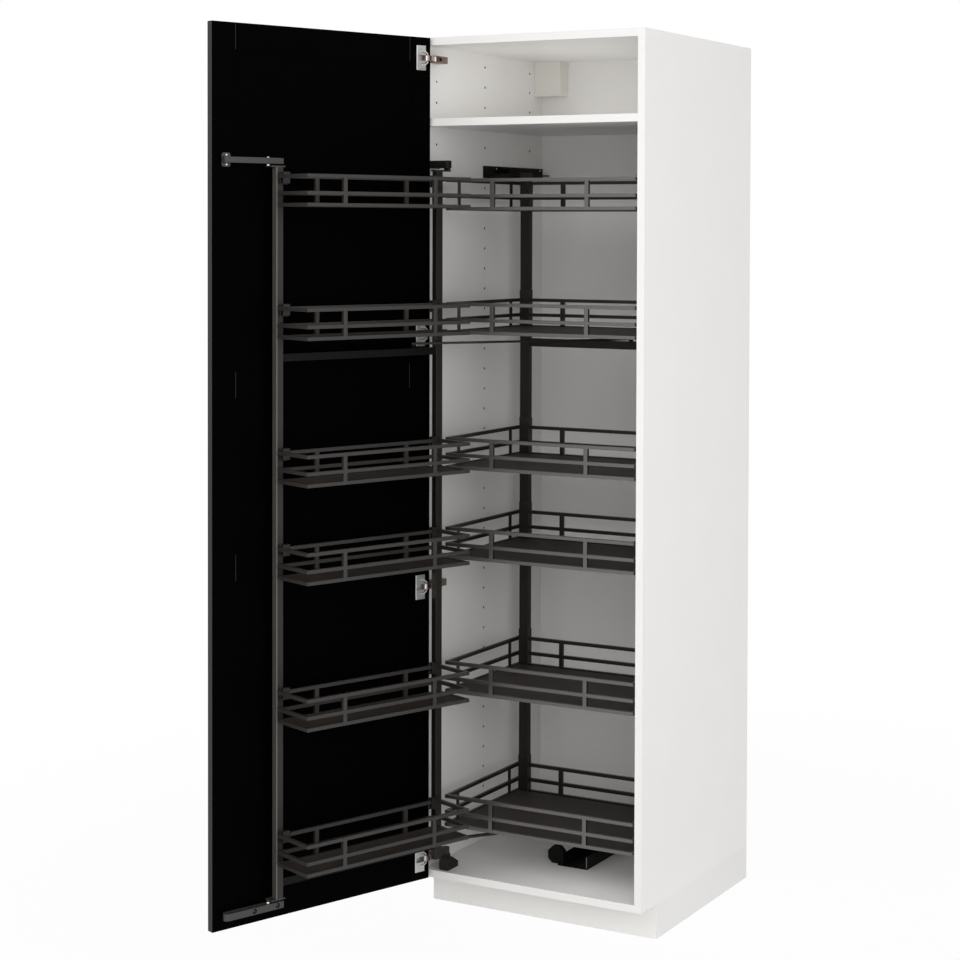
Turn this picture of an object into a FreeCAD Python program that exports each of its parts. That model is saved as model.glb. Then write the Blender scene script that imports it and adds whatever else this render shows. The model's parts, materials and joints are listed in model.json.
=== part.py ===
import FreeCAD, Part
import math
import os
import re
import Sketcher

# Tall larder cabinet, 600 x 600 mm, with a rack behind the door and an inner frame that rolls forward.
# X runs along the front, Y to the back, Z up; the origin is the middle of the footprint on the floor.
# The rest pose is the door fully open, with the inner frame pulled forward.

doc = FreeCAD.newDocument("larder_cabinet")
sheet = doc.addObject("Spreadsheet::Sheet", "Dims")

DIMENSIONS = [
    # carcass
    ("width", 600, "carcass width"),
    ("depth", 600, "carcass depth"),
    ("carcass_height", 2000, "carcass height without plinth"),
    ("plinth_height", 80, "floor to carcass"),
    ("panel", 18, "board thickness"),
    ("back_board", 5, "back board thickness"),
    ("back_inset", 15, "back board to rear edge"),
    ("upper_bay", 173, "clear height above the fixed shelf"),
    ("plinth_setback", 79, "plinth front behind carcass front"),
    ("plinth_board", 18, "plinth board thickness"),
    ("pin_d", 5, "shelf pin hole diameter"),
    ("pin_depth", 11, "shelf pin hole depth"),
    ("pin_front", 55.5, "first pin column from the front"),
    ("pin_rear", 88.9, "second pin column from the rear edge"),
    ("pin_rows", 50, "distance between pin rows"),
    ("leg_inset_x", 50, "leg axis from the side's inner face"),
    ("leg_inset_y", 140, "leg axis from front and rear edges"),
    ("leg_foot_r", 28, "leg foot radius"),
    ("leg_foot", 8, "leg foot height"),
    ("leg_stem_r", 17, "leg stem radius"),
    ("leg_plate", 64, "leg mounting plate width"),
    ("leg_plate_thick", 6, "leg mounting plate thickness"),
    ("hanger_width", 76, "hanger cover width"),
    ("hanger_height", 90, "hanger cover height"),
    ("hanger_depth", 44, "hanger cover depth"),
    ("hanger_wall", 2, "hanger cover wall"),
    # hinges
    ("hinge_end", 50, "outer hinge from the carcass end"),
    ("hinge_mid", 700, "inner hinge from the carcass end"),
    ("arm_pin_x", 20.7, "arm pin from the side's inner face"),
    ("arm_pin_y", 13.1, "arm pin behind the carcass front"),
    ("arm_pin_r", 2.5, "arm pin radius"),
    ("arm_tip", 6.5, "arm tip in front of and beside its pin"),
    ("arm_length", 48, "arm length behind its pin"),
    ("arm_height", 16, "arm height"),
    ("arm_plate", 4, "mounting plate thickness"),
    ("arm_plate_length", 30, "mounting plate length"),
    ("arm_plate_height", 13, "mounting plate height"),
    ("fork_depth", 13, "arm fork behind its pin"),
    ("link_height", 12, "hinge link height"),
    ("link_thick", 4, "hinge link thickness"),
    ("link_side_gap", 0.4, "hinge link to fork and cup, each side"),
    ("link_eye_wall", 2, "wall round the link's bores"),
    ("link_corner", 10.9, "hinge link's corner beyond the open door's hinge edge"),
    ("link_corner_out", 2.8, "hinge link's corner off the open door's inner face"),
    ("link_bend_out", 5.6, "hinge link's bend off the open door's inner face"),
    ("pin_clear", 0.05, "running clearance on a pin's radius"),
    ("link_swing", 51.73, "hinge link turn over the whole swing"),
    ("cup_pin_u", 10.2, "cup pin from the door's hinge edge"),
    ("cup_pin_depth", 1.5, "cup pin below the door's inner face"),
    ("cup_pin_r", 2, "cup pin radius"),
    ("cup_u", 21.5, "cup axis from the door's hinge edge"),
    ("cup_r", 17.5, "cup radius"),
    ("cup_depth", 12.5, "cup depth"),
    ("cup_floor", 1, "cup floor thickness"),
    ("cup_clear", 0.1, "cup to its bore"),
    ("cup_plate_u", 14, "cup plate from the hinge edge"),
    ("cup_plate_width", 27, "cup plate width"),
    ("cup_plate_height", 58, "cup plate height"),
    ("cup_plate", 1.5, "cup plate thickness"),
    # door
    ("door_reveal", 1.5, "door edge to carcass edge"),
    ("door_thick", 18, "door thickness"),
    ("door_gap", 2.5, "closed door to carcass front"),
    ("stile", 60, "stile and rail width"),
    ("rail_low", 797.5, "lower middle rail axis above the door's lower edge"),
    ("rail_high", 1201.5, "upper middle rail axis above the door's lower edge"),
    ("panel_thick", 12, "door panel thickness"),
    ("panel_bevel", 0.8, "bevel round the panels"),
    ("open_angle", 110.412, "door angle when fully open"),
    ("slide_over", 7.5, "slide rail above the cabinet floor's level"),
    ("slide_edge", 22, "slide rail end from the door's free edge"),
    ("slide_length", 151, "slide rail length"),
    ("slide_height", 15.5, "slide rail height"),
    ("slide_depth", 20, "slide rail depth"),
    ("slide_groove", 6, "slide rail groove width and depth"),
    ("slide_hole_r", 5.5, "slide rail screw hole radius"),
    ("slide_hole_depth", 6, "slide rail screw hole depth"),
    ("slide_hole_in", 15.5, "first screw hole from the slide rail's inner end"),
    ("slide_hole_step", 60.5, "distance between the slide rail's screw holes"),
    ("bracket_under", 1.5, "top bracket below the rack posts' tops"),
    ("bracket_edge", 23.5, "top bracket from the door's free edge"),
    ("bracket_width", 21.5, "top bracket width"),
    ("bracket_height", 31, "top bracket height"),
    ("bracket_corner", 5, "top bracket corner radius"),
    ("bracket_plate", 3, "top bracket plate thickness"),
    ("bar_length", 152, "top bar length"),
    ("bar_height", 13, "top bar height"),
    ("bar_depth", 12, "top bar depth"),
    # rack behind the door
    ("pivot_x", 52, "rack pivot from the side's inner face"),
    ("pivot_y", 20, "rack pivot behind the carcass front"),
    ("pivot_r", 5, "rack pivot pin radius"),
    ("rack_under", 34, "post foot above the cabinet floor"),
    ("rack_over", 91.5, "post top above the highest tray's lower edge"),
    ("post_u", 34, "pivot post axis from the pivot"),
    ("post_o", 6.6, "post axis towards the room side of the pivot"),
    ("free_gap", 31, "free post axis from the right side, door closed"),
    ("post_width", 18, "post width"),
    ("post_depth", 16, "post depth"),
    ("post_wall", 1.5, "post and crossbar tube wall"),
    ("rack_bar_over", 61, "lower rack crossbar above the cabinet floor"),
    ("rack_bar_under", 47.2, "upper rack crossbar below the second tray"),
    ("rack_bar_height", 17, "rack crossbar height"),
    ("rack_bar_depth", 12, "rack crossbar depth"),
    ("arm_low_height", 15.5, "lower pivot arm height"),
    ("arm_low_lift", 4.5, "lower pivot arm above the post foot"),
    ("arm_top_height", 3.5, "upper pivot arm height"),
    ("arm_half", 8, "half the pivot arms' width"),
    ("arm_boss", 9, "pivot arm boss radius over its corners"),
    ("pivot_gap", 0.3, "pivot arm to bearing shoulder"),
    ("slider_top", 3, "top slider plate thickness"),
    ("slider_plate", 2.5, "bottom slider plate thickness"),
    ("slider_reach", 12.5, "slider plates past the post"),
    ("slider_start", 6, "slider plates before the post"),
    ("slider_pin_r", 4, "slider pin radius"),
    ("slider_pin_in", 4.5, "slider pin axis from the plate's edges"),
    ("slider_gap", 0.3, "slider pins to the door's rail and bar"),
    ("slider_back", 10, "slider plates towards the door"),
    # trays
    ("tray_low", 106, "lowest tray above the cabinet floor"),
    ("tray_high", 199, "highest tray below the fixed shelf"),
    ("wire", 8, "gallery bar section"),
    ("gallery_mid", 29.5, "middle rail above the tray's lower edge"),
    ("gallery_top", 67, "top rail above the tray's lower edge"),
    ("upright_width", 10, "upright width"),
    ("upright_thick", 3, "thickness of the uprights in a tray's side rails"),
    ("upright_off", 125, "uprights from the tray's middle"),
    ("base_rise", 1, "tray base above the tray's lower edge"),
    ("base_thick", 5, "tray base thickness"),
    ("door_tray_u", 36, "door tray end from the pivot"),
    ("door_tray_gap", 24, "door tray end from the right side, door closed"),
    ("door_tray_depth", 117, "door tray depth"),
    ("door_tray_lift", 3.8, "door tray's lowest rail above the inner tray's"),
    ("hook_sheet", 2, "hook sheet thickness"),
    ("hook_roof", 6, "hook roof thickness"),
    ("hook_lip", 26, "hook lip length"),
    ("hook_gap", 0.5, "hook to the tray's end rail"),
    ("hook_width", 18, "hook width"),
    ("hook_drop", 28, "hook leg length"),
    ("inner_left", 52, "inner tray from the left side"),
    ("inner_right", 12, "inner tray from the right side"),
    ("inner_front", 15, "inner tray behind the carcass front, door open"),
    ("inner_back", 24, "inner tray from the back board, door closed"),
    ("inner_travel", 185, "inner frame travel"),
    # inner frame
    ("inner_post_width", 24, "inner post width"),
    ("inner_post_depth", 18, "inner post depth"),
    ("inner_post_x", 9, "inner post from the tray's end"),
    ("inner_post_proud", 4, "inner post past the tray's rear rail"),
    ("inner_post_under", 33, "inner post foot above the cabinet floor"),
    ("inner_post_over", 2, "inner post above the highest sleeve"),
    ("sleeve_wall", 1, "sleeve wall"),
    ("sleeve_height", 96, "sleeve height"),
    ("inner_bar_over", 58, "lower inner crossbar above the cabinet floor"),
    ("inner_bar_under", 45.2, "upper inner crossbar below the second tray"),
    ("inner_bar_height", 20, "inner crossbar height"),
    ("inner_bar_depth", 10, "inner crossbar depth"),
    # steering links
    ("steer_u", 105, "steering pivot on the rack from the rack's pivot"),
    ("steer_width", 10, "steering link width"),
    ("steer_thick", 5, "steering link thickness"),
    ("steer_rise", 3, "steering link above the inner crossbar"),
    ("steer_pin_r", 3, "steering pin radius"),
    ("steer_stub", 8, "steering stub width at the inner crossbar"),
    ("steer_gap", 0.3, "steering stub to the inner crossbar"),
    # bearing, bracket, runner and guide
    ("bearing_width", 24, "bearing block width"),
    ("bearing_front", 10, "bearing block before the pivot"),
    ("bearing_length", 47, "bearing block length"),
    ("bearing_high", 30, "bearing block height in front"),
    ("bearing_low", 13, "bearing block height at the back"),
    ("bearing_boss", 16, "bearing boss width"),
    ("topbracket_plate", 3, "upper bracket wall plate"),
    ("topbracket_length", 56, "upper bracket wall plate length"),
    ("topbracket_height", 17.5, "upper bracket wall plate height"),
    ("tongue_height", 17.5, "upper bracket tongue height"),
    ("tongue_gap", 5, "upper bracket tongue above the upper pivot arm"),
    ("collar", 11, "collar width round the upper pivot pin"),
    ("tongue_width", 20, "upper bracket tongue width"),
    ("runner_width", 68, "floor runner width"),
    ("runner_height", 30, "floor runner height"),
    ("runner_sheet", 3, "floor runner sheet"),
    ("runner_x", 1, "floor runner's left edge from the middle"),
    ("runner_front", 177, "floor runner behind the carcass front"),
    ("runner_end", 8, "floor runner to the back board"),
    ("stop_width", 40, "runner stop width"),
    ("stop_depth", 19, "runner stop depth"),
    ("stop_height", 40, "runner stop height"),
    ("stop_gap", 5, "runner stop to runner"),
    ("stop_back", 12, "runner stop behind the runner's front"),
    ("stop_base", 12, "runner stop's foot beside the runner"),
    ("stop_bevel", 11, "bevel on the runner stop's long edges"),
    ("carriage_gap", 0.3, "carriage to runner floor"),
    ("carriage_side", 4, "carriage to runner wall"),
    ("carriage_length", 40, "carriage length"),
    ("guide_front", 274, "wall guide behind the carcass front"),
    ("guide_end", 4, "wall guide to the back board"),
    ("guide_under", 15, "wall guide below the inner post top"),
    ("guide_height", 30.5, "wall guide height"),
    ("guide_sheet", 3, "wall guide sheet"),
    ("guide_lip", 23, "wall guide lip width"),
    ("guide_rise", 10.5, "wall guide lip above the guide's lower edge"),
    ("roller_r", 7, "guide roller radius"),
    ("roller_gap", 0.3, "guide roller to lip"),
    ("ear", 4, "upper carriage sheet"),
]

for row, (alias, value, note) in enumerate(DIMENSIONS, start=1):
    sheet.set(f"A{row}", note)
    sheet.set(f"B{row}", str(value))
    sheet.setAlias(f"B{row}", alias)
doc.recompute()

ALIASES = {alias for alias, _, _ in DIMENSIONS}
dim = {alias: float(getattr(sheet, alias)) for alias in ALIASES}
Vector = FreeCAD.Vector
UP = Vector(0, 0, 1)
TREE = []


def bind(obj, prop, expression):
    """Binds a property to the sheet: words that are aliases become references to their cells."""
    text = re.sub(r"[a-z_]+", lambda m: "Dims." + m.group(0) if m.group(0) in ALIASES else m.group(0),
                  str(expression))
    obj.setExpression(prop, text)


def place(obj, x, y, z):
    for axis, expression in zip("xyz", (x, y, z)):
        bind(obj, f"Placement.Base.{axis}", expression)


def box(name, size, at):
    solid = doc.addObject("Part::Box", name)
    for prop, expression in zip(("Length", "Width", "Height"), size):
        bind(solid, prop, expression)
    place(solid, *at)
    return solid


def rod(name, radius, length, at, along="z"):
    """A cylinder from its start point along +X, +Y or +Z."""
    solid = doc.addObject("Part::Cylinder", name)
    turn = {"x": FreeCAD.Rotation(Vector(0, 1, 0), 90), "y": FreeCAD.Rotation(Vector(1, 0, 0), -90),
            "z": FreeCAD.Rotation()}
    solid.Placement = FreeCAD.Placement(Vector(), turn[along])
    bind(solid, "Radius", radius)
    bind(solid, "Height", length)
    place(solid, *at)
    return solid


def prism(name, sides, radius, height, at):
    """An upright prism whose corners lie on a circle."""
    solid = doc.addObject("Part::Prism", name)
    solid.Polygon = sides
    bind(solid, "Circumradius", radius)
    bind(solid, "Height", height)
    place(solid, *at)
    return solid


def fuse(name, *solids):
    joined = doc.addObject("Part::MultiFuse", name)
    joined.Shapes = list(solids)
    joined.Refine = True
    return joined


def cut(name, base, *tools):
    tool = tools[0]
    if len(tools) > 1:
        tool = fuse(name + "_tools", *tools)
    result = doc.addObject("Part::Cut", name)
    result.Base = base
    result.Tool = tool
    return result


def group(name, *solids):
    gathered = doc.addObject("Part::Compound", name)
    gathered.Links = list(solids)
    return gathered


def part(label, obj, placement=None):
    """Names a finished piece and sets it in its place; a box bound to the sheet is wrapped first."""
    if placement is not None and obj.isDerivedFrom("Part::Box"):
        obj = group(label + "_set", obj)
    obj.Label = label
    if placement is not None:
        obj.Placement = placement
    TREE.append(obj)
    return obj


def rectangle(sketch, left, low, right, high):
    """A rectangle whose four sides are tied to the sheet, measured from the sketch's origin."""
    first = sketch.GeometryCount
    corners = [Vector(0, 0, 0), Vector(10, 0, 0), Vector(10, 10, 0), Vector(0, 10, 0)]
    for i in range(4):
        sketch.addGeometry(Part.LineSegment(corners[i], corners[(i + 1) % 4]))
    for i in range(4):
        sketch.addConstraint(Sketcher.Constraint("Coincident", first + i, 2, first + (i + 1) % 4, 1))
    for side, kind in enumerate(("Horizontal", "Vertical", "Horizontal", "Vertical")):
        sketch.addConstraint(Sketcher.Constraint(kind, first + side))
    for kind, line, end, expression in (("DistanceX", 0, 1, left), ("DistanceY", 0, 1, low),
                                        ("DistanceX", 2, 1, right), ("DistanceY", 2, 1, high)):
        number = sketch.addConstraint(Sketcher.Constraint(kind, -1, 1, first + line, end, 5.0))
        bind(sketch, f"Constraints[{number}]", expression)


def sketch_on(body, name, role, lift=None):
    plane = next(f for f in body.Origin.OriginFeatures if f.Role == role)
    sketch = body.newObject("Sketcher::SketchObject", name)
    sketch.AttachmentSupport = [(plane, "")]
    sketch.MapMode = "FlatFace"
    if lift is not None:
        bind(sketch, "AttachmentOffset.Base.z", lift)
    return sketch


def pad(body, name, sketch, length):
    feature = body.newObject("PartDesign::Pad", name)
    feature.Profile = sketch
    bind(feature, "Length", length)
    return feature


def thick_path(points, half, low, height):
    """A flat bar of constant thickness along a path of points in the XY plane."""
    path = Part.makePolygon([Vector(x, y, low) for x, y in points])
    face = path.makeOffset2D(half, 2, True, True, False)
    return face.extrude(Vector(0, 0, height))


def eight_sided(x, y, radius, low, height):
    """An upright block with eight sides, for the eye round a bore."""
    angles = [math.radians(22.5 + 45 * i) for i in range(9)]
    ring = [Vector(x + radius * math.cos(a), y + radius * math.sin(a), low) for a in angles]
    return Part.Face(Part.makePolygon(ring)).extrude(Vector(0, 0, height))


def turned(x, y, degrees):
    angle = math.radians(degrees)
    return (x * math.cos(angle) - y * math.sin(angle), x * math.sin(angle) + y * math.cos(angle))


# Places that several pieces share
front = -dim["depth"] / 2
wall = -dim["width"] / 2 + dim["panel"]
floor = dim["plinth_height"] + dim["panel"]
FRONT = "-depth/2"
WALL = "(-width/2 + panel)"
FLOOR = "(plinth_height + panel)"
TOP = "(plinth_height + carcass_height)"
BACK = "(depth/2 - back_inset - back_board)"
CLEAR_WIDTH = "(width - 2*panel)"
CLEAR_DEPTH = "(depth - back_inset - back_board)"
SHELF = "(plinth_height + carcass_height - 2*panel - upper_bay)"
DOOR_WIDTH = "(width - 2*door_reveal)"
HINGE_LEVELS = (f"({TOP} - hinge_end)", f"({TOP} - hinge_mid)",
                "(plinth_height + hinge_mid)", "(plinth_height + hinge_end)")
# The trays hang in rows between the lowest and the highest tray, counted in steps from below.
TRAY_ROWS = (13.74, 11, 8, 6, 3, 0)
LOWEST = f"({FLOOR} + tray_low)"
HIGHEST = f"({SHELF} - tray_high)"
LEVELS = [f"({LOWEST} + ({HIGHEST} - {LOWEST})*{row}/{TRAY_ROWS[0]})" for row in TRAY_ROWS]
lowest = floor + dim["tray_low"]
shelf = dim["plinth_height"] + dim["carcass_height"] - 2 * dim["panel"] - dim["upper_bay"]
highest = shelf - dim["tray_high"]
levels = [lowest + (highest - lowest) * row / TRAY_ROWS[0] for row in TRAY_ROWS]
RACK_LOW = f"({FLOOR} + rack_under)"
RACK_HIGH = f"({HIGHEST} + rack_over)"
DOOR_TRAY_LENGTH = "(width - 2*panel - pivot_x - door_tray_u - door_tray_gap)"
INNER_WIDTH = "(width - 2*panel - inner_left - inner_right)"
INNER_DEPTH = "(depth - back_inset - back_board - inner_front - inner_travel - inner_back)"
INNER_POST_FRONT = f"({INNER_DEPTH} + inner_post_proud - inner_post_depth)"
INNER_POST_HIGH = f"({HIGHEST} + sleeve_height + inner_post_over)"

# The hinge link turns about the arm's pin, and the door about the cup's pin. The open door's place follows.
arm_pin = (wall + dim["arm_pin_x"], front + dim["arm_pin_y"])
hinge_edge = -dim["width"] / 2 + dim["door_reveal"]
cup_pin_closed = (hinge_edge + dim["cup_pin_u"], front - dim["door_gap"] - dim["cup_pin_depth"])
reach = turned(cup_pin_closed[0] - arm_pin[0], cup_pin_closed[1] - arm_pin[1], dim["link_swing"])
cup_pin = (arm_pin[0] + reach[0], arm_pin[1] + reach[1])
offset = turned(dim["cup_pin_u"], -dim["cup_pin_depth"], -dim["open_angle"])
opened = FreeCAD.Rotation(UP, -dim["open_angle"])
# Door frame: X from the hinge edge along the door, Y from the inner face into the room, Z from the floor
DOOR = FreeCAD.Placement(Vector(cup_pin[0] - offset[0], cup_pin[1] - offset[1], 0), opened)
# Rack frame: X along the rack from its pivot, Y away from the door, Z from the floor
pivot = (wall + dim["pivot_x"], front + dim["pivot_y"])
RACK = FreeCAD.Placement(Vector(pivot[0], pivot[1], 0), opened)

# Carcass boards
def pin_holes(side, x):
    """A row of two shelf pin holes in the upper bay, bored into one side."""
    z = f"{TOP} - hinge_end - pin_rows"
    columns = (f"{FRONT} + pin_front", "depth/2 - pin_rear")
    return [rod(f"{side}_pin_{i}", "pin_d/2", "pin_depth", (x, y, z), "x") for i, y in enumerate(columns)]


board = box("left_board", ("panel", "depth", "carcass_height"), ("-width/2", FRONT, "plinth_height"))
part("side_left", cut("left_cut", board, *pin_holes("left", f"{WALL} - pin_depth")))
board = box("right_board", ("panel", "depth", "carcass_height"), (f"-{WALL}", FRONT, "plinth_height"))
part("side_right", cut("right_cut", board, *pin_holes("right", f"-{WALL}")))
part("top_panel", box("top_board", (CLEAR_WIDTH, CLEAR_DEPTH, "panel"), (WALL, FRONT, f"{TOP} - panel")))
part("bottom_panel", box("bottom_board", (CLEAR_WIDTH, CLEAR_DEPTH, "panel"),
                         (WALL, FRONT, "plinth_height")))
part("fixed_shelf", box("shelf_board", (CLEAR_WIDTH, CLEAR_DEPTH, "panel"), (WALL, FRONT, SHELF)))
part("back_board", box("back_sheet", (CLEAR_WIDTH, "back_board", "carcass_height"),
                       (WALL, BACK, "plinth_height")))

# Plinth boards and legs
PLINTH_Y = f"({FRONT} + plinth_setback)"
part("plinth_front", box("plinth_front_board", ("width", "plinth_board", "plinth_height"),
                         ("-width/2", PLINTH_Y, "0")))
SIDE_SIZE = ("plinth_board", "depth - plinth_setback - plinth_board", "plinth_height")
part("plinth_left", box("plinth_left_board", SIDE_SIZE, ("-width/2", f"{PLINTH_Y} + plinth_board", "0")))
part("plinth_right", box("plinth_right_board", SIDE_SIZE,
                         ("width/2 - plinth_board", f"{PLINTH_Y} + plinth_board", "0")))


def leg(name, x, y):
    foot = prism(name + "_foot", 12, "leg_foot_r", "leg_foot", (x, y, "0"))
    stem = prism(name + "_stem", 12, "leg_stem_r", "plinth_height", (x, y, "0"))
    plate = box(name + "_plate", ("leg_plate", "leg_plate", "leg_plate_thick"),
                (f"{x} - leg_plate/2", f"{y} - leg_plate/2", "plinth_height - leg_plate_thick"))
    return fuse(name, foot, stem, plate)


LEG_X = f"({WALL} + leg_inset_x)"
LEG_Y = f"({FRONT} + leg_inset_y)"
part("legs", group("leg_set", leg("leg_fl", LEG_X, LEG_Y), leg("leg_fr", "-" + LEG_X, LEG_Y),
                   leg("leg_rl", LEG_X, "-" + LEG_Y), leg("leg_rr", "-" + LEG_X, "-" + LEG_Y)))


# Hanger covers: open-backed boxes on the back board, in the upper corners
def hanger_cover(name, x):
    z = f"{TOP} - panel - hanger_height"
    y = f"{BACK} - hanger_depth"
    outer = box(name + "_outer", ("hanger_width", "hanger_depth", "hanger_height"), (x, y, z))
    inner = box(name + "_inner",
                ("hanger_width - 2*hanger_wall", "hanger_depth", "hanger_height - 2*hanger_wall"),
                (f"{x} + hanger_wall", f"{y} + hanger_wall", f"{z} + hanger_wall"))
    return cut(name, outer, inner)


part("hanger_cover_left", hanger_cover("hanger_left", WALL))
part("hanger_cover_right", hanger_cover("hanger_right", f"-{WALL} - hanger_width"))

# Hinges: arm on the side board, bent link, cup with its plate in the door
SLOT = "(link_height + 2*link_side_gap)"
PIN_X = f"({WALL} + arm_pin_x)"
PIN_Y = f"({FRONT} + arm_pin_y)"


def hinge_arm(name, z):
    plate = box(name + "_plate", ("arm_plate", "arm_plate_length", "arm_plate_height"),
                (WALL, f"{PIN_Y} + arm_length - arm_plate_length", f"{z} - arm_plate_height/2"))
    bar = box(name + "_bar", ("arm_pin_x + arm_tip - arm_plate", "arm_length + arm_tip", "arm_height"),
              (f"{WALL} + arm_plate", f"{PIN_Y} - arm_tip", f"{z} - arm_height/2"))
    slot = box(name + "_slot", ("arm_pin_x + 2*arm_tip", "fork_depth + arm_tip", SLOT),
               (WALL, f"{PIN_Y} - arm_tip", f"{z} - {SLOT}/2"))
    pin = rod(name + "_pin", "arm_pin_r", "arm_height", (PIN_X, PIN_Y, f"{z} - arm_height/2"))
    return fuse(name, cut(name + "_fork", fuse(name + "_block", plate, bar), slot), pin)


def hinge_cup(name, z):
    shell = rod(name + "_shell", "cup_r", "cup_depth", ("cup_u", "-cup_depth", z), "y")
    plate = box(name + "_plate", ("cup_plate_width", "cup_plate", "cup_plate_height"),
                ("cup_plate_u", "0", f"{z} - cup_plate_height/2"))
    room = "(cup_pin_r + link_eye_wall + 2*link_side_gap)"
    pocket = box(name + "_pocket",
                 (f"2*(cup_u - cup_pin_u + {room})", "cup_depth + cup_plate - cup_floor", SLOT),
                 (f"cup_pin_u - {room}", "cup_floor - cup_depth", f"{z} - {SLOT}/2"))
    pin = rod(name + "_pin", "cup_pin_r", f"{SLOT} + 2*cup_floor",
              ("cup_pin_u", "-cup_pin_depth", f"{z} - {SLOT}/2 - cup_floor"))
    return fuse(name, cut(name + "_shape", fuse(name + "_block", shell, plate), pocket), pin)


def hinge_link(name, level):
    """A bent arm from the arm's pin round the door's edge into the cup, with a bore at each end."""
    low = level - dim["link_height"] / 2
    corner = DOOR.multVec(Vector(-dim["link_corner"], dim["link_corner_out"], 0))
    bend = DOOR.multVec(Vector(dim["cup_pin_u"], dim["link_bend_out"], 0))
    path = [arm_pin, (corner.x, corner.y), (bend.x, bend.y), cup_pin]
    shape = thick_path(path, dim["link_thick"] / 2, low, dim["link_height"])
    for (x, y), radius in ((arm_pin, dim["arm_pin_r"]), (cup_pin, dim["cup_pin_r"])):
        shape = shape.fuse(eight_sided(x, y, radius + dim["link_eye_wall"], low, dim["link_height"]))
        bore = Part.makeCylinder(radius + dim["pin_clear"], dim["link_height"], Vector(x, y, low))
        shape = shape.cut(bore)
    link = doc.addObject("Part::Feature", name)
    link.Shape = shape.removeSplitter()
    return link


hinge_heights = (dim["plinth_height"] + dim["carcass_height"] - dim["hinge_end"],
                 dim["plinth_height"] + dim["carcass_height"] - dim["hinge_mid"],
                 dim["plinth_height"] + dim["hinge_mid"], dim["plinth_height"] + dim["hinge_end"])
part("hinge_arms", group("arm_set", *[hinge_arm(f"arm_{i}", z) for i, z in enumerate(HINGE_LEVELS)]))
part("hinge_links", group("link_set", *[hinge_link(f"link_{i}", z) for i, z in enumerate(hinge_heights)]))
part("hinge_cups", group("cup_set", *[hinge_cup(f"cup_{i}", z) for i, z in enumerate(HINGE_LEVELS)]), DOOR)

# Door: two stiles, four rails and three panels, in the door's own frame
DOOR_LOW = "(plinth_height + door_reveal)"
DOOR_HEIGHT = "(carcass_height - 2*door_reveal)"
RAIL_LENGTH = "(width - 2*door_reveal - 2*stile)"


def door_board(name, u, z, length, height, thick="door_thick"):
    return box(name, (length, thick, height), (u, f"-{thick}", z))


def bevelled(name, board):
    """Bevels the edges round a board's inner face."""
    doc.recompute()
    inner = board.Shape.BoundBox.YMax
    edges = [i for i, edge in enumerate(board.Shape.Edges, start=1)
             if all(abs(v.Point.y - inner) < 1e-6 for v in edge.Vertexes)]
    bevel = doc.addObject("Part::Chamfer", name)
    bevel.Base = board
    bevel.Edges = [(i, dim["panel_bevel"], dim["panel_bevel"]) for i in edges]
    return bevel


stile_board = door_board("hinge_stile", "0", DOOR_LOW, "stile", DOOR_HEIGHT)
bores = [rod(f"cup_bore_{i}", "cup_r + cup_clear", "cup_depth + cup_clear",
             ("cup_u", "-cup_depth - cup_clear", z), "y") for i, z in enumerate(HINGE_LEVELS)]
part("door_stile_hinge", cut("hinge_stile_bored", stile_board, *bores), DOOR)
stile_board = door_board("free_stile", f"{DOOR_WIDTH} - stile", DOOR_LOW, "stile", DOOR_HEIGHT)
part("door_stile_free", stile_board, DOOR)
RAIL_ZS = (f"({DOOR_LOW} + {DOOR_HEIGHT} - stile)", f"({DOOR_LOW} + rail_high - stile/2)",
           f"({DOOR_LOW} + rail_low - stile/2)", DOOR_LOW)
for label, z in zip(("door_rail_top", "door_rail_upper", "door_rail_lower", "door_rail_bottom"), RAIL_ZS):
    part(label, door_board(label + "_board", "stile", z, RAIL_LENGTH, "stile"), DOOR)
for label, upper, lower in zip(("door_panel_top", "door_panel_middle", "door_panel_bottom"),
                               RAIL_ZS[:3], RAIL_ZS[1:]):
    low = f"({lower} + stile)"
    panel_board = door_board(label + "_board", "stile", low, RAIL_LENGTH, f"{upper} - {low}", "panel_thick")
    part(label, bevelled(label + "_bevel", panel_board), DOOR)

# Slide rail near the door's lower edge and bracket with its bar near the top
def rounded(name, plate):
    """Rounds the four corners of an upright plate."""
    doc.recompute()
    edges = [i for i, edge in enumerate(plate.Shape.Edges, start=1)
             if abs(edge.Length - plate.Shape.BoundBox.YLength) < 1e-6
             and abs(edge.Vertexes[0].Point.y - edge.Vertexes[1].Point.y) > 1e-6]
    corners = doc.addObject("Part::Fillet", name)
    corners.Base = plate
    corners.Edges = [(i, dim["bracket_corner"], dim["bracket_corner"]) for i in edges]
    return corners


SLIDE_Z = f"({FLOOR} + slide_over)"
SLIDE_END = f"({DOOR_WIDTH} - slide_edge - slide_depth/2)"
rail_bar = box("slide_bar", ("slide_length - slide_depth/2", "slide_depth", "slide_height"),
               (f"{SLIDE_END} + slide_depth/2 - slide_length", "0", SLIDE_Z))
rail_nose = rod("slide_nose", "slide_depth/2", "slide_height", (SLIDE_END, "slide_depth/2", SLIDE_Z))
groove = box("slide_slot", ("slide_length", "slide_groove", "slide_groove"),
             (f"{SLIDE_END} - slide_length", "slide_depth/2 - slide_groove/2",
              f"{SLIDE_Z} + slide_height - slide_groove"))
screw_holes = [
    rod(f"slide_hole_{i}", "slide_hole_r", "slide_hole_depth",
        (f"{SLIDE_END} + slide_depth/2 - slide_length + slide_hole_in + {i}*slide_hole_step",
         "slide_depth - slide_hole_depth", f"{SLIDE_Z} + slide_height/2"), "y") for i in range(2)]
part("door_slide_rail",
     cut("slide_cut", fuse("slide_block", rail_bar, rail_nose), groove, *screw_holes), DOOR)
BRACKET_U = f"({DOOR_WIDTH} - bracket_edge - bracket_width)"
BRACKET_Z = f"({RACK_HIGH} - bracket_under)"
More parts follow.
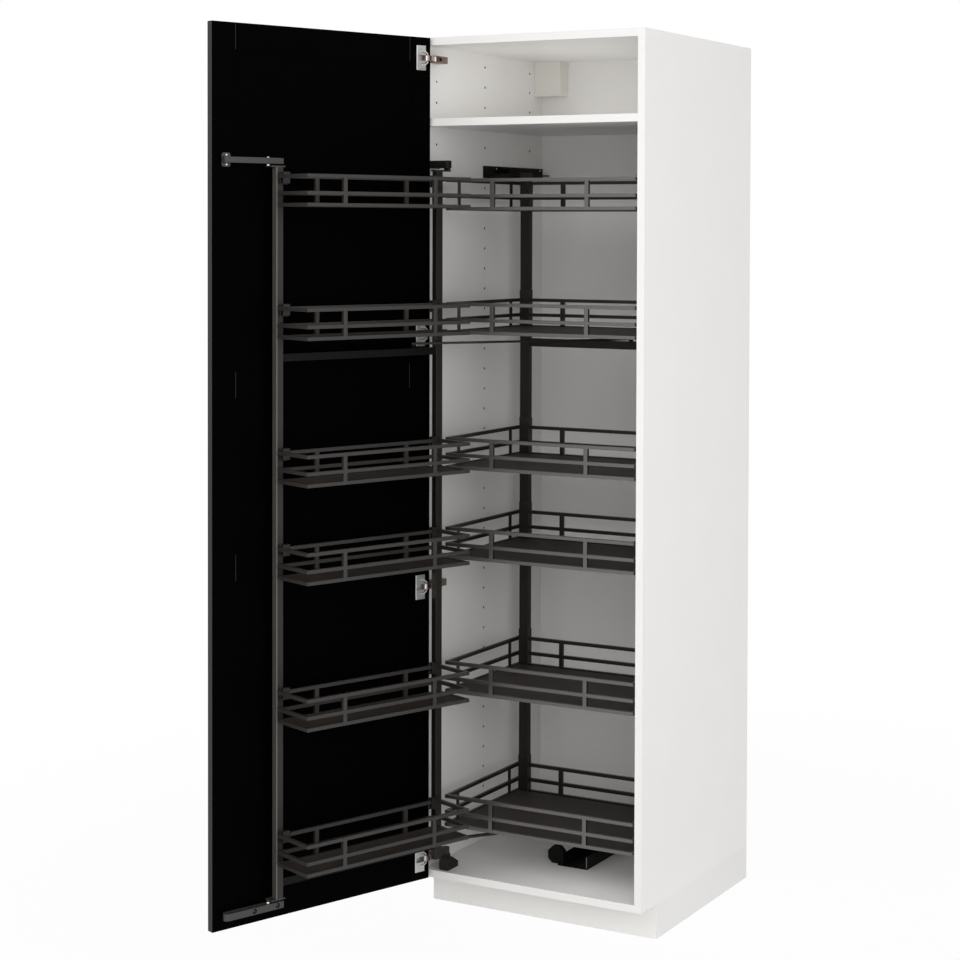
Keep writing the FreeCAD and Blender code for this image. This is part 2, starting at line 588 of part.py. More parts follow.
bracket_plate = box("bracket_sheet", ("bracket_width", "bracket_plate", "bracket_height"),
                    (BRACKET_U, "0", BRACKET_Z))
bracket_bar = box("bracket_bar", ("bar_length", "bar_depth", "bar_height"),
                  (f"{BRACKET_U} + bracket_width - bar_length", "bracket_plate",
                   f"{BRACKET_Z} + bracket_height/2 - bar_height/2"))
part("door_bracket", fuse("bracket_block", rounded("bracket_round", bracket_plate), bracket_bar), DOOR)

# Rack posts and crossbars, square tubes in the rack's own frame
POST_FREE = "(width - 2*panel - pivot_x - free_gap)"
POST_ROOM = "(post_o + post_depth/2)"


def tube(name, size, at, along):
    """A square tube: a bar with the wall left standing along one axis."""
    bar = box(name + "_bar", size, at)
    bore_size = [f"{s} - 2*post_wall" for s in size]
    bore_at = [f"{a} + post_wall" for a in at]
    bore_size["xyz".index(along)] = size["xyz".index(along)]
    bore_at["xyz".index(along)] = at["xyz".index(along)]
    return cut(name, bar, box(name + "_bore", bore_size, bore_at))


for label, u in (("rack_post_pivot", "post_u"), ("rack_post_free", POST_FREE)):
    part(label, tube(label + "_tube", ("post_width", "post_depth", f"{RACK_HIGH} - {RACK_LOW}"),
                     (f"{u} - post_width/2", "post_o - post_depth/2", RACK_LOW), "z"), RACK)
RACK_BARS = (f"({LEVELS[1]} - rack_bar_under)", f"({FLOOR} + rack_bar_over)")
INNER_BARS = (f"({LEVELS[1]} - inner_bar_under)", f"({FLOOR} + inner_bar_over)")


def rack_bar(name, z, inner_z):
    """A crossbar between the rack's posts with the steering link's pin standing on it."""
    bar = tube(name + "_tube", (f"{POST_FREE} - post_u - post_width", "rack_bar_depth", "rack_bar_height"),
               ("post_u + post_width/2", "post_o - rack_bar_depth/2", z), "x")
    link_top = f"({inner_z} + inner_bar_height + steer_rise + steer_thick)"
    pin_foot = f"({z} + rack_bar_height - post_wall)"
    pin = rod(name + "_pin", "steer_pin_r", f"{link_top} - {pin_foot}", ("steer_u", "post_o", pin_foot))
    return fuse(name, bar, pin)


part("rack_crossbars", group("rack_bar_set", rack_bar("rack_bar_a", RACK_BARS[0], INNER_BARS[0]),
                             rack_bar("rack_bar_b", RACK_BARS[1], INNER_BARS[1])), RACK)


# Pivot arms: from the pivot pin to the pivot post
def pivot_arm(name, z, height, reach_u):
    arm = box(name + "_arm", (reach_u, "2*arm_half", height), ("0", "-arm_half", z))
    boss = prism(name + "_boss", 8, "arm_boss", height, ("0", "0", z))
    bore = rod(name + "_bore", "pivot_r + pin_clear", height, ("0", "0", z))
    return cut(name, fuse(name + "_block", arm, boss), bore)


ARM_LOW = f"({RACK_LOW} + arm_low_lift)"
part("rack_arm_bottom", pivot_arm("arm_low", ARM_LOW, "arm_low_height", "post_u - post_width/2"), RACK)
part("rack_arm_top", pivot_arm("arm_top", RACK_HIGH, "arm_top_height", "post_u + post_width/2"), RACK)

# Sliders at the free post: thin plates with a pin each, under the door's bar and over its slide rail
def slider(label, thick, z, pin_foot, pin_tall):
    size = ("slider_start + post_width + slider_reach", "post_depth + slider_back", thick)
    plate = box(label + "_plate", size, (SLIDER_U, SLIDER_O, z))
    pin_u = f"{POST_FREE} + post_width/2 + slider_reach - slider_pin_in"
    pin = rod(label + "_pin", "slider_pin_r", pin_tall, (pin_u, f"{SLIDER_O} + slider_pin_in", pin_foot))
    part(label, fuse(label + "_block", plate, pin), RACK)


SLIDER_U = f"({POST_FREE} - post_width/2 - slider_start)"
SLIDER_O = f"({POST_ROOM} - post_depth - slider_back)"
BAR_LOW = f"({BRACKET_Z} + bracket_height/2 - bar_height/2)"
RAIL_TOP = f"({SLIDE_Z} + slide_height)"
slider("rack_slider_top", "slider_top", RACK_HIGH, RACK_HIGH, f"{BAR_LOW} - slider_gap - {RACK_HIGH}")
slider("rack_slider_bottom", "slider_plate", f"{RACK_LOW} - slider_plate",
       f"{RAIL_TOP} + slider_gap", f"{RACK_LOW} - {RAIL_TOP} - slider_gap")


# Trays: three rails joined by uprights, and a flat base inside the lowest rail
def gallery(name, length, depth, low_lift, inner_tray):
    """A tray's gallery with its corner at the origin; an inner tray's sleeves take the inner posts."""
    body = doc.addObject("PartDesign::Body", name)
    inner = ("wire", "wire", f"{length} - wire", f"{depth} - wire")
    rings = []
    for ring, lift in (("low", low_lift), ("mid", "gallery_mid"), ("top", "gallery_top")):
        sketch = sketch_on(body, f"{name}_{ring}_sketch", "XY_Plane", lift)
        rectangle(sketch, "0", "0", length, depth)
        rectangle(sketch, *inner)
        rings.append(sketch)
    stand = sketch_on(body, name + "_upright_sketch", "XY_Plane", low_lift)
    half = "upright_width/2"
    for sign in "-+":
        x = f"{length}/2 {sign} upright_off"
        rectangle(stand, f"{x} - {half}", "0", f"{x} + {half}", "wire")
        rectangle(stand, f"{x} - {half}", f"{depth} - wire", f"{x} + {half}", depth)
        if inner_tray:
            y = f"{depth}/2 {sign} upright_off"
            for rail in ("wire/2", f"{length} - wire/2"):
                rectangle(stand, f"{rail} - upright_thick/2", f"{y} - {half}",
                          f"{rail} + upright_thick/2", f"{y} + {half}")
    pad(body, name + "_low", rings[0], "wire")
    pad(body, name + "_uprights", stand, f"gallery_top + wire - {low_lift}")
    pad(body, name + "_mid", rings[1], "wire")
    pad(body, name + "_top", rings[2], "wire")
    if inner_tray:
        outer = sketch_on(body, name + "_sleeve_sketch", "XY_Plane")
        bore = sketch_on(body, name + "_bore_sketch", "XY_Plane")
        low = INNER_POST_FRONT
        high = f"{INNER_POST_FRONT} + inner_post_depth"
        for left in ("inner_post_x", f"{length} - inner_post_x - inner_post_width"):
            right = f"{left} + inner_post_width"
            rectangle(outer, f"{left} - sleeve_wall", f"{low} - sleeve_wall",
                      f"{right} + sleeve_wall", f"{high} + sleeve_wall")
            rectangle(bore, left, low, right, high)
        pad(body, name + "_sleeves", outer, "sleeve_height")
        pocket = body.newObject("PartDesign::Pocket", name + "_bores")
        pocket.Profile = bore
        pocket.Reversed = True
        bind(pocket, "Length", "sleeve_height")
    return body


TRAY_REAR = f"({POST_ROOM} + hook_sheet)"
SLEEVE_FRONT = f"({INNER_POST_FRONT} - sleeve_wall)"
tray_rear = dim["post_o"] + dim["post_depth"] / 2 + dim["hook_sheet"]
inner_origin = Vector(wall + dim["inner_left"], front + dim["inner_front"], 0)
for number, level in enumerate(levels, start=1):
    lift = Vector(0, 0, level)
    corner = FreeCAD.Placement(Vector(dim["door_tray_u"], tray_rear, 0) + lift, FreeCAD.Rotation())
    tray = gallery(f"door_gallery_{number}", DOOR_TRAY_LENGTH, "door_tray_depth", "door_tray_lift", False)
    part(f"door_tray_{number}", tray, RACK.multiply(corner))
    corner = FreeCAD.Placement(inner_origin + lift, FreeCAD.Rotation())
    tray = gallery(f"inner_gallery_{number}", INNER_WIDTH, INNER_DEPTH, "0", True)
    part(f"inner_tray_{number}", tray, corner)
part("door_tray_bases", group("door_base_set", *[
    box(f"door_base_{i}", (f"{DOOR_TRAY_LENGTH} - 2*wire", "door_tray_depth - 2*wire", "base_thick"),
        ("door_tray_u + wire", f"{TRAY_REAR} + wire", f"{level} + door_tray_lift + base_rise"))
    for i, level in enumerate(LEVELS)]), RACK)
INNER_X = f"({WALL} + inner_left)"
INNER_Y = f"({FRONT} + inner_front)"
part("inner_tray_bases", group("inner_base_set", *[
    box(f"inner_base_{i}", (f"{INNER_WIDTH} - 2*wire", f"{SLEEVE_FRONT} - wire", "base_thick"),
        (f"{INNER_X} + wire", f"{INNER_Y} + wire", f"{level} + base_rise"))
    for i, level in enumerate(LEVELS)]))


# Hooks: bent over the top rail, with a leg that reaches onto the post's face
def hook(name, u, leg_u, leg_end, level):
    over = f"({level} + gallery_top + wire)"
    leg_sheet = box(name + "_leg", (f"{leg_end} - {leg_u}", "hook_sheet", "hook_drop"),
                    (leg_u, POST_ROOM, f"{over} + hook_roof - hook_drop"))
    roof = box(name + "_roof", ("hook_width", "wire + 2*hook_sheet", "hook_roof"), (u, POST_ROOM, over))
    lip = box(name + "_lip", ("hook_width", "hook_sheet", "hook_lip"),
              (u, f"{TRAY_REAR} + wire", f"{over} + hook_roof - hook_lip"))
    return fuse(name, leg_sheet, roof, lip)


PIVOT_HOOK = "(door_tray_u + wire + hook_gap)"
FREE_HOOK = f"(door_tray_u + {DOOR_TRAY_LENGTH} - wire - hook_gap - hook_width)"
hooks = []
for i, level in enumerate(LEVELS):
    hooks.append(hook(f"hook_pivot_{i}", PIVOT_HOOK, "post_u", f"({PIVOT_HOOK} + hook_width)", level))
    hooks.append(hook(f"hook_free_{i}", FREE_HOOK, FREE_HOOK, POST_FREE, level))
part("rack_hooks", group("hook_set", *hooks), RACK)

# Inner frame: posts and crossbars
POST_XS = (f"({INNER_X} + inner_post_x)", f"({INNER_X} + {INNER_WIDTH} - inner_post_x - inner_post_width)")
POST_Y = f"({INNER_Y} + {INNER_POST_FRONT})"
INNER_POST_LOW = f"({FLOOR} + inner_post_under)"
for label, x in zip(("inner_post_left", "inner_post_right"), POST_XS):
    size = ("inner_post_width", "inner_post_depth", f"{INNER_POST_HIGH} - {INNER_POST_LOW}")
    part(label, tube(label + "_tube", size, (x, POST_Y, INNER_POST_LOW), "z"))
size = (f"{POST_XS[1]} - {POST_XS[0]} - inner_post_width", "inner_bar_depth", "inner_bar_height")
BAR_Y = f"({POST_Y} + inner_post_depth/2 - inner_bar_depth/2)"
part("inner_crossbars", group("inner_bar_set", *[
    tube(f"inner_bar_{i}", size, (f"{POST_XS[0]} + inner_post_width", BAR_Y, z), "x")
    for i, z in enumerate(INNER_BARS)]))

# Steering links: they turn on the rack's pins, and their far ends lie over the inner crossbars at the place
# where the link keeps its length from the open to the closed door.
inner_depth = dim["depth"] - dim["back_inset"] - dim["back_board"] - dim["inner_front"]
inner_depth -= dim["inner_travel"] + dim["inner_back"]
steer_y = front + dim["inner_front"] + inner_depth + dim["inner_post_proud"] - dim["inner_post_depth"] / 2
near_open = RACK.multVec(Vector(dim["steer_u"], dim["post_o"], 0))
near_closed = (pivot[0] + dim["steer_u"], pivot[1] + dim["post_o"])
gain = (steer_y + dim["inner_travel"] - near_closed[1]) ** 2 - (steer_y - near_open.y) ** 2
steer_x = (gain / (near_closed[0] - near_open.x) + near_closed[0] + near_open.x) / 2


def steering_link(name, low):
    """A flat bar from the rack's pin to a stub over the inner crossbar."""
    half = dim["steer_width"] / 2
    stub = dim["steer_stub"]
    thick = dim["steer_thick"]
    drop = dim["steer_rise"] - dim["steer_gap"]
    run = Vector(steer_x - near_open.x, steer_y - near_open.y, 0)
    bar = Part.makeBox(run.Length + 2 * half, dim["steer_width"], thick, Vector(-half, -half, 0))
    bar = bar.cut(Part.makeCylinder(dim["steer_pin_r"] + dim["pin_clear"], thick))
    bar = bar.fuse(Part.makeBox(stub, stub, drop, Vector(run.Length - stub / 2, -stub / 2, -drop)))
    link = doc.addObject("Part::Feature", name)
    link.Shape = bar.removeSplitter()
    heading = FreeCAD.Rotation(UP, math.degrees(math.atan2(run.y, run.x)))
    link.Placement = FreeCAD.Placement(Vector(near_open.x, near_open.y, low), heading)
    return link


bar_lows = (levels[1] - dim["inner_bar_under"], floor + dim["inner_bar_over"])
bar_tops = [low + dim["inner_bar_height"] for low in bar_lows]
part("steering_links", group("steer_set", *[steering_link(f"steer_{i}", top + dim["steer_rise"])
                                            for i, top in enumerate(bar_tops)]))

# Rack bearing on the cabinet floor: a sloped block with a boss and the pivot pin
bearing = doc.addObject("PartDesign::Body", "bearing_body")
profile = sketch_on(bearing, "bearing_sketch", "YZ_Plane")
corners = [(0, 0), (dim["bearing_length"], 0), (dim["bearing_length"], dim["bearing_low"]),
           (dim["bearing_front"] * 2, dim["bearing_high"]), (0, dim["bearing_high"])]
for i, (y, z) in enumerate(corners):
    y_next, z_next = corners[(i + 1) % len(corners)]
    profile.addGeometry(Part.LineSegment(Vector(y, z, 0), Vector(y_next, z_next, 0)))
for i in range(len(corners)):
    profile.addConstraint(Sketcher.Constraint("Coincident", i, 2, (i + 1) % len(corners), 1))
for line, end, kind, expression in (
        (1, 1, "DistanceX", "bearing_length"), (1, 2, "DistanceX", "bearing_length"),
        (1, 2, "DistanceY", "bearing_low"), (2, 2, "DistanceX", "2*bearing_front"),
        (2, 2, "DistanceY", "bearing_high"), (3, 2, "DistanceY", "bearing_high")):
    number = profile.addConstraint(Sketcher.Constraint(kind, -1, 1, line, end, 5.0))
    bind(profile, f"Constraints[{number}]", expression)
profile.addConstraint(Sketcher.Constraint("Coincident", 0, 1, -1, 1))
profile.addConstraint(Sketcher.Constraint("Horizontal", 0))
profile.addConstraint(Sketcher.Constraint("Vertical", 4))
block = pad(bearing, "bearing_pad", profile, "bearing_width")
block.Midplane = True
place(bearing, f"{WALL} + pivot_x", f"{FRONT} + pivot_y - bearing_front", FLOOR)
PIVOT = (f"{WALL} + pivot_x", f"{FRONT} + pivot_y")
boss = box("bearing_boss", ("bearing_boss", "bearing_boss", f"{ARM_LOW} - pivot_gap - {FLOOR}"),
           (f"{PIVOT[0]} - bearing_boss/2", f"{PIVOT[1]} - bearing_boss/2", FLOOR))
pin = rod("bearing_pin", "pivot_r", f"{ARM_LOW} + arm_low_height - {FLOOR}", (*PIVOT, FLOOR))
part("pivot_bearing", fuse("bearing_block", bearing, boss, pin))

# Upper pivot bracket: a plate on the side board with a tongue that carries the pin
TONGUE_Z = f"({RACK_HIGH} + arm_top_height + tongue_gap)"
sheet_plate = box("topbracket_sheet", ("topbracket_plate", "topbracket_length", "topbracket_height"),
                  (WALL, f"{FRONT} + pivot_y - tongue_width/2", TONGUE_Z))
tongue = box("topbracket_tongue", ("pivot_x", "tongue_width", "tongue_height"),
             (WALL, f"{FRONT} + pivot_y - tongue_width/2", TONGUE_Z))
nose = rod("topbracket_nose", "tongue_width/2", "tongue_height", (*PIVOT, TONGUE_Z))
collar = box("topbracket_collar", ("collar", "collar", "tongue_gap - pivot_gap"),
             (f"{PIVOT[0]} - collar/2", f"{PIVOT[1]} - collar/2", f"{TONGUE_Z} - tongue_gap + pivot_gap"))
pin = rod("topbracket_pin", "pivot_r", "arm_top_height + tongue_gap", (*PIVOT, RACK_HIGH))
part("pivot_bracket", fuse("topbracket_block", sheet_plate, tongue, nose, collar, pin))

# Floor runner: an upturned channel with its stop, and the carriage that rolls in it
RUNNER_Y = f"({FRONT} + runner_front)"
RUNNER_LENGTH = f"({BACK} - runner_end - {RUNNER_Y})"
channel = box("runner_channel", ("runner_width", RUNNER_LENGTH, "runner_height"),
              ("runner_x", RUNNER_Y, FLOOR))
trough = box("runner_trough", ("runner_width - 2*runner_sheet", RUNNER_LENGTH, "runner_height"),
             ("runner_x + runner_sheet", RUNNER_Y, f"{FLOOR} + runner_sheet"))
part("floor_runner", cut("runner_shape", channel, trough))
STOP_Y = f"({RUNNER_Y} + stop_back)"
stop_block = box("stop_block", ("stop_width", "stop_depth", "stop_height"),
                 ("runner_x - stop_gap - stop_width", STOP_Y, FLOOR))
doc.recompute()
stop_box = stop_block.Shape.BoundBox
stop_edges = [i for i, edge in enumerate(stop_block.Shape.Edges, start=1)
              if abs(edge.Vertexes[0].Point.y - edge.Vertexes[1].Point.y) > 1e-6
              and (edge.CenterOfMass.x < stop_box.Center.x or edge.CenterOfMass.z > stop_box.Center.z)]
stop_body = doc.addObject("Part::Chamfer", "stop_body")
stop_body.Base = stop_block
stop_body.Edges = [(i, dim["stop_bevel"], dim["stop_bevel"]) for i in stop_edges]
stop_foot = box("stop_foot", ("stop_base", "stop_back + stop_depth", "runner_sheet"),
                ("runner_x - stop_base", RUNNER_Y, FLOOR))
part("runner_stop", fuse("stop_shape", stop_body, stop_foot))
CARRIAGE_Z = f"({FLOOR} + runner_sheet + carriage_gap)"
part("inner_carriage", box("carriage_block",
                           ("runner_width - 2*runner_sheet - 2*carriage_side", "carriage_length",
                            f"{INNER_BARS[1]} - {CARRIAGE_Z}"),
                           ("runner_x + runner_sheet + carriage_side",
                            f"{POST_Y} + inner_post_depth/2 - carriage_length/2", CARRIAGE_Z)))

# Wall guide: an angle on the side board, and the inner frame's upper carriage with its roller
GUIDE_Y = f"({FRONT} + guide_front)"
GUIDE_LENGTH = f"({BACK} - guide_end - {GUIDE_Y})"
GUIDE_Z = f"({INNER_POST_HIGH} - guide_under)"
web = box("guide_web", ("guide_sheet", GUIDE_LENGTH, "guide_height"), (WALL, GUIDE_Y, GUIDE_Z))
LIP_Z = f"({GUIDE_Z} + guide_rise)"
lip = box("guide_ledge", ("guide_lip", GUIDE_LENGTH, "guide_sheet"), (WALL, GUIDE_Y, LIP_Z))
part("wall_guide", fuse("guide_shape", web, lip))
EAR_X = f"({WALL} + guide_lip + 2*roller_gap)"
ROLLER_X = f"({WALL} + guide_sheet + roller_gap)"
ROLLER_Z = f"({LIP_Z} + guide_sheet + roller_gap + roller_r)"
saddle = box("saddle", (f"{POST_XS[0]} + inner_post_width - {EAR_X}", "inner_post_depth", "ear"),
             (EAR_X, POST_Y, INNER_POST_HIGH))
ear_sheet = box("ear_sheet", ("ear", "inner_post_depth", f"{ROLLER_Z} + ear - {INNER_POST_HIGH}"),
                (EAR_X, POST_Y, INNER_POST_HIGH))
roller = rod("guide_roller", "roller_r", f"{EAR_X} - {ROLLER_X}",
             (ROLLER_X, f"{POST_Y} + inner_post_depth/2", ROLLER_Z), "x")
part("inner_guide_carriage", fuse("guide_carriage_shape", saddle, ear_sheet, roller))

doc.recompute()
for obj in doc.Objects:
    if "Invalid" in obj.State or "Error" in obj.State:
        raise RuntimeError(f"{obj.Label} failed: {obj.State}")
for obj in TREE:
    if obj.Shape.isNull() or not obj.Shape.isValid():
        raise RuntimeError(f"{obj.Label} has no valid shape")

os.makedirs("parts", exist_ok=True)
for obj in TREE:
    obj.Shape.exportStep(f"parts/{obj.Label}.step")
    print(obj.Label, len(obj.Shape.Solids), round(obj.Shape.Volume / 1000, 1))
print(len(TREE), "nodes")
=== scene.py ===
import json
import math

import bmesh
import bpy
from mathutils import Matrix, Vector


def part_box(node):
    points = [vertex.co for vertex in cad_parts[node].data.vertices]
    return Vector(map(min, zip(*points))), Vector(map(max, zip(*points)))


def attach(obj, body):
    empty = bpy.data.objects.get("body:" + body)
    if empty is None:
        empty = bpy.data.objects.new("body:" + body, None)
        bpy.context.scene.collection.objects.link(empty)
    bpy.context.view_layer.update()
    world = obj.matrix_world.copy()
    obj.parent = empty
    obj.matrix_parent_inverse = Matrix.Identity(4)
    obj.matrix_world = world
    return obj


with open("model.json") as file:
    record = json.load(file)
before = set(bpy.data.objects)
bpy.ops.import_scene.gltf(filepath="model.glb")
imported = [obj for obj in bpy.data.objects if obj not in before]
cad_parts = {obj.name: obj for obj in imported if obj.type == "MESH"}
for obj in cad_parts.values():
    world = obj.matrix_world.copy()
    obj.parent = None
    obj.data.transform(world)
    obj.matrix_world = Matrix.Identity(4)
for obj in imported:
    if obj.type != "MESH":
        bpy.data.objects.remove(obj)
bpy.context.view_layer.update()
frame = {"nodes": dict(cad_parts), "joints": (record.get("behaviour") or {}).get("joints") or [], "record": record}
nodes = frame["nodes"]
joints = {joint["name"]: joint for joint in frame["joints"]}
scene = bpy.context.scene
MM = 0.001
RIGHT = Vector((1.0, 0.0, 0.0))
BACK = Vector((0.0, 1.0, 0.0))
UP = Vector((0.0, 0.0, 1.0))


def in_mm(corners):
    """The lowest and the highest corner of a box, in millimetres."""
    return [Vector(corner) / MM for corner in corners]


# Materials, with lengths in metres
GRAIN_DEPTH = 0.0004
GRAIN_SCALE = 1200.0
GRAIN_DETAIL = 3.0
CLOUD_SCALE = 7.0
CLOUD_DETAIL = 4.0
CLOUD_RANGE = (0.3, 0.7)
CLOUD_ROUGHNESS = 0.05
BEVEL_SAMPLES = 4


def noise(tree, scale, detail):
    """A noise pattern fixed to the piece, at so many grains to the metre."""
    place = tree.nodes.new("ShaderNodeTexCoord")
    pattern = tree.nodes.new("ShaderNodeTexNoise")
    pattern.inputs["Scale"].default_value = scale
    pattern.inputs["Detail"].default_value = detail
    tree.links.new(place.outputs["Object"], pattern.inputs["Vector"])
    return pattern.outputs["Fac"]


def material(name, color, roughness=0.5, metallic=0.0, specular=0.5, rounding=0.0, grain=0.06,
             clouds=0.04):
    """A painted, coated or metal surface: soft edges, fine grain, faint clouds of colour and gloss."""
    made = bpy.data.materials.new(name)
    made.use_nodes = True
    tree = made.node_tree
    shader = tree.nodes["Principled BSDF"]
    shader.inputs["Base Color"].default_value = (*color, 1.0)
    shader.inputs["Metallic"].default_value = metallic
    shader.inputs["Specular IOR Level"].default_value = specular

    cloud = noise(tree, CLOUD_SCALE, CLOUD_DETAIL)
    tint = tree.nodes.new("ShaderNodeValToRGB")
    shades = (1.0 - clouds, 1.0 + clouds)
    for element, position, shade in zip(tint.color_ramp.elements, CLOUD_RANGE, shades):
        element.position = position
        element.color = (*[part * shade for part in color], 1.0)
    tree.links.new(cloud, tint.inputs["Fac"])
    tree.links.new(tint.outputs["Color"], shader.inputs["Base Color"])
    gloss = tree.nodes.new("ShaderNodeMapRange")
    gloss.inputs["To Min"].default_value = roughness - CLOUD_ROUGHNESS
    gloss.inputs["To Max"].default_value = roughness + CLOUD_ROUGHNESS
    tree.links.new(cloud, gloss.inputs["Value"])
    tree.links.new(gloss.outputs["Result"], shader.inputs["Roughness"])

    bump = tree.nodes.new("ShaderNodeBump")
    bump.inputs["Strength"].default_value = grain
    bump.inputs["Distance"].default_value = GRAIN_DEPTH
    tree.links.new(noise(tree, GRAIN_SCALE, GRAIN_DETAIL), bump.inputs["Height"])
    if rounding:
        bevel = tree.nodes.new("ShaderNodeBevel")
        bevel.samples = BEVEL_SAMPLES
        bevel.inputs["Radius"].default_value = rounding
        tree.links.new(bevel.outputs["Normal"], bump.inputs["Normal"])
    tree.links.new(bump.outputs["Normal"], shader.inputs["Normal"])
    return made


def painted_shade_rearward(made, painted_shade_color, start, end):
    """Painted shade: lets a surface's colour pass into a darker one between two depths of the part."""
    tree = made.node_tree
    shader = tree.nodes["Principled BSDF"]
    place = tree.nodes.new("ShaderNodeTexCoord")
    split = tree.nodes.new("ShaderNodeSeparateXYZ")
    depth = tree.nodes.new("ShaderNodeMapRange")
    depth.inputs["From Min"].default_value = start
    depth.inputs["From Max"].default_value = end
    ramp = tree.nodes.new("ShaderNodeValToRGB")
    ramp.color_ramp.elements[0].color = shader.inputs["Base Color"].default_value
    ramp.color_ramp.elements[1].color = (*painted_shade_color, 1.0)
    tree.links.new(place.outputs["Object"], split.inputs["Vector"])
    tree.links.new(split.outputs["Y"], depth.inputs["Value"])
    tree.links.new(depth.outputs["Result"], ramp.inputs["Fac"])
    tree.links.new(ramp.outputs["Color"], shader.inputs["Base Color"])


FINISHES = {
    "carcass_white": dict(color=(0.930, 0.918, 0.898), roughness=0.45, rounding=0.0008, clouds=0.008),
    "plinth_white": dict(color=(0.900, 0.890, 0.872), roughness=0.45, rounding=0.0008, clouds=0.008),
    "door_black": dict(color=(0.0005, 0.0005, 0.0005), roughness=0.55, specular=0.012),
    "hinge_bronze": dict(color=(0.20, 0.155, 0.11), roughness=0.4, metallic=0.4, rounding=0.0010),
    "hinge_copper": dict(color=(0.62, 0.52, 0.48), roughness=0.35, metallic=1.0, rounding=0.0008),
    "hinge_nickel": dict(color=(0.50, 0.50, 0.49), roughness=0.35, metallic=0.8, rounding=0.0005),
    "cover_plastic": dict(color=(0.855, 0.835, 0.785), roughness=0.5, rounding=0.0025, clouds=0.01),
    "leg_plastic": dict(color=(0.02, 0.02, 0.02), roughness=0.5, rounding=0.001, grain=0.2),
    "black_steel": dict(color=(0.004, 0.0036, 0.0033), roughness=0.5, specular=0.12, rounding=0.0006),
    "black_plastic": dict(color=(0.003, 0.0027, 0.0024), roughness=0.55, specular=0.12,
                          rounding=0.001, grain=0.2),
    "slider_steel": dict(color=(0.035, 0.0335, 0.032), roughness=0.45, rounding=0.0010),
    "tray_base": dict(color=(0.045, 0.037, 0.032), roughness=0.6, specular=0.3, grain=0.25, clouds=0.12),
    "gallery_anthracite": dict(color=(0.028, 0.0245, 0.0225), roughness=0.42, specular=0.4,
                               rounding=0.0012, grain=0.15),
    "frame_anthracite": dict(color=(0.011, 0.0095, 0.0085), roughness=0.38, specular=0.4,
                             rounding=0.0015, grain=0.15),
    "frame_black": dict(color=(0.010, 0.0088, 0.0075), roughness=0.5, specular=0.3,
                        rounding=0.0010, grain=0.15),
}
MATERIALS = {slot: material(slot, **finish) for slot, finish in FINISHES.items()}

# Materials of single nodes: inner galleries with painted light and shade, pivot block, rack crossbars
GALLERY_FRONT = -0.25
GALLERY_REAR = -0.14
GALLERY_PAINTED_SHADE = (0.045, 0.042, 0.039)
INNER_TRAYS = 6
# Inner galleries: a paler copy of the gallery finish, painted light on the front rails, passing into painted shade
# towards the rear
INNER_GALLERY_PAINTED_LIGHT = material("gallery_inner_painted_light", (0.142, 0.136, 0.132), roughness=0.42, metallic=1.0,
                         rounding=0.0010, grain=0.15)
painted_shade_rearward(INNER_GALLERY_PAINTED_LIGHT, GALLERY_PAINTED_SHADE, GALLERY_FRONT, GALLERY_REAR)
BLOCK_PLASTIC = material("block_plastic", (0.012, 0.0105, 0.009), roughness=0.55, specular=0.2,
                         rounding=0.001, grain=0.2)
NODE_MATERIALS = {"rack_crossbars": MATERIALS["black_steel"], "pivot_bearing": BLOCK_PLASTIC}
NODE_MATERIALS.update({f"inner_tray_{number}": INNER_GALLERY_PAINTED_LIGHT for number in range(1, INNER_TRAYS + 1)})
for entry in frame["record"]["subparts"]:
    mesh = nodes[entry["node"]].data
    mesh.materials.clear()
    mesh.materials.append(NODE_MATERIALS.get(entry["node"], MATERIALS[entry["material_slot"]]))

# Materials of the small trim
ZINC = material("screw_zinc", (0.62, 0.61, 0.59), roughness=0.3, metallic=1.0, rounding=0.0004)
PLATE_HIGHLIGHT = material("hinge_plate_highlight", (0.84, 0.84, 0.83), roughness=0.35)
RIM = material("hinge_rim", (0.66, 0.66, 0.65), roughness=0.35)
HOLE_SHADE = material("hole_shade", (0.012, 0.011, 0.010), roughness=0.8, specular=0.1)
RECESS_SHADE = material("recess_shade", (0.003, 0.003, 0.003), roughness=0.7, specular=0.1)
# Edge band: its paler tone is painted light from the front-left
EDGE_BAND_PAINTED_LIGHT = material("edge_band", (0.026, 0.027, 0.028), roughness=0.5, specular=0.2)
POST_PAINTED_LIGHT = material("post_painted_light", (0.068, 0.062, 0.057), roughness=0.4)
# Painted highlight: a paler strip along rounded edges
EDGE_HIGHLIGHT = material("painted_edge_highlight", (0.150, 0.138, 0.128), roughness=0.4)
SEAM_HIGHLIGHT = material("door_seam_highlight", (0.030, 0.030, 0.030), roughness=0.5, specular=0.1)


# Axes of the carcass, the open door and the rack
class Axes:
    """A place with its own axes; point() takes millimetres along, away and up, and gives metres."""

    def __init__(self, origin, along, away):
        self.origin = origin
        self.along = along
        self.away = away
        self.up = UP

    def point(self, u, o, z):
        return self.origin + (self.along * u + self.away * o + self.up * z) * MM


OPEN_ANGLE = math.radians(110.412)
CUP_PIN_U = 10.2
CUP_PIN_DEPTH = 1.5
door_along = Vector((math.cos(OPEN_ANGLE), -math.sin(OPEN_ANGLE), 0.0))
door_away = Vector((math.sin(OPEN_ANGLE), math.cos(OPEN_ANGLE), 0.0))
cup_pin = Vector(joints["door_swing"]["pos_m"])
hinge_corner = cup_pin - door_along * CUP_PIN_U * MM + door_away * CUP_PIN_DEPTH * MM
door = Axes(hinge_corner, door_along, door_away)
rack = Axes(Vector(joints["rack_swing"]["pos_m"]), door_along, door_away)
carcass = Axes(Vector((0.0, 0.0, 0.0)), RIGHT, BACK)


